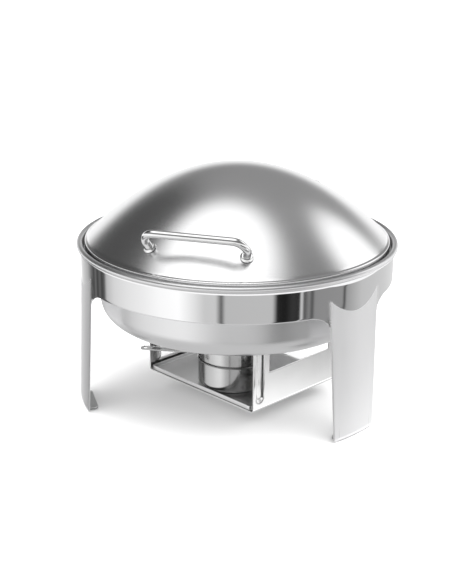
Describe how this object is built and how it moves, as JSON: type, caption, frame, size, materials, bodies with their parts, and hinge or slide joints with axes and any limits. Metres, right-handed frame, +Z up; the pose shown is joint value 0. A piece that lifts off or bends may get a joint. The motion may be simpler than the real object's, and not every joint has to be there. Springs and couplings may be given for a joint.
{
  "type": "chafing dish",
  "caption": "Round chafing dish food warmer: three-legged steel frame, water pan, food pan, domed lift-off lid and a fuel burner on a tray beneath.",
  "frame": {"origin": "on the floor, on the axis of the round frame", "axes": "+Z up; -Y is the front, where the lid's handle is; +X is to the right seen from the front"},
  "size_m": [0.39, 0.3951, 0.2886],
  "materials": {
    "polished_steel": "mirror-polished stainless steel",
    "satin_steel": "satin-brushed stainless steel",
    "rubber": "matt black rubber",
    "tinplate": "plain tinplate",
    "fuel_gel": "smooth gel",
    "black_plastic": "heat-proof black plastic"
  },
  "bodies": {
    "frame": {"apron_frame": "polished_steel", "support_ring": "satin_steel", "foot_1": "satin_steel", "foot_2": "satin_steel", "foot_3": "satin_steel", "foot_pad_1": "rubber", "foot_pad_2": "rubber", "foot_pad_3": "rubber", "holder_socket_1": "polished_steel", "holder_socket_2": "polished_steel"},
    "lid_holder": {"lid_holder": "polished_steel"},
    "water_pan": {"water_pan": "satin_steel", "burner_bracket": "polished_steel", "bracket_stud_1": "satin_steel", "bracket_stud_2": "satin_steel", "bracket_stud_3": "satin_steel", "bracket_stud_4": "satin_steel", "bracket_nut_1": "satin_steel", "bracket_nut_2": "satin_steel", "bracket_nut_3": "satin_steel", "bracket_nut_4": "satin_steel"},
    "food_pan": {"food_pan": "satin_steel"},
    "lid": {"lid_dome": "satin_steel", "lid_handle": "polished_steel", "handle_ferrule_1": "polished_steel", "handle_ferrule_2": "polished_steel", "handle_nut_1": "satin_steel", "handle_nut_2": "satin_steel"},
    "tray": {"burner_tray": "satin_steel"},
    "burner": {"burner_cup": "polished_steel", "burner_cover": "polished_steel", "fuel_can": "tinplate", "fuel_gel": "fuel_gel", "burner_handle": "polished_steel", "handle_lug": "polished_steel", "snuffer_pin": "polished_steel"},
    "snuffer": {"snuffer_plate": "polished_steel", "snuffer_knob": "black_plastic"}
  },
  "joints": [
    {"name": "lid_holder_lift", "type": "slide", "parent": "frame", "child": "lid_holder", "axis": [0, 0, 1], "range_m": [0, 0.05]},
    {"name": "water_pan_lift", "type": "slide", "parent": "frame", "child": "water_pan", "axis": [0, 0, 1], "range_m": [0, 0.2]},
    {"name": "food_pan_lift", "type": "slide", "parent": "water_pan", "child": "food_pan", "axis": [0, 0, 1], "range_m": [0, 0.1]},
    {"name": "lid_lift", "type": "slide", "parent": "food_pan", "child": "lid", "axis": [0, 0, 1], "range_m": [0, 0.15]},
    {"name": "tray_slide", "type": "slide", "parent": "water_pan", "child": "tray", "axis": [-0.5, -0.866, 0], "range_m": [0, 0.065]},
    {"name": "burner_lift", "type": "slide", "parent": "tray", "child": "burner", "axis": [0, 0, 1], "range_m": [0, 0.012]},
    {"name": "snuffer_swivel", "type": "hinge", "parent": "burner", "child": "snuffer", "pos_m": [0.0221, -0.00499, 0.0811], "axis": [0, 0, -1], "range_deg": [0, 95]}
  ]
}
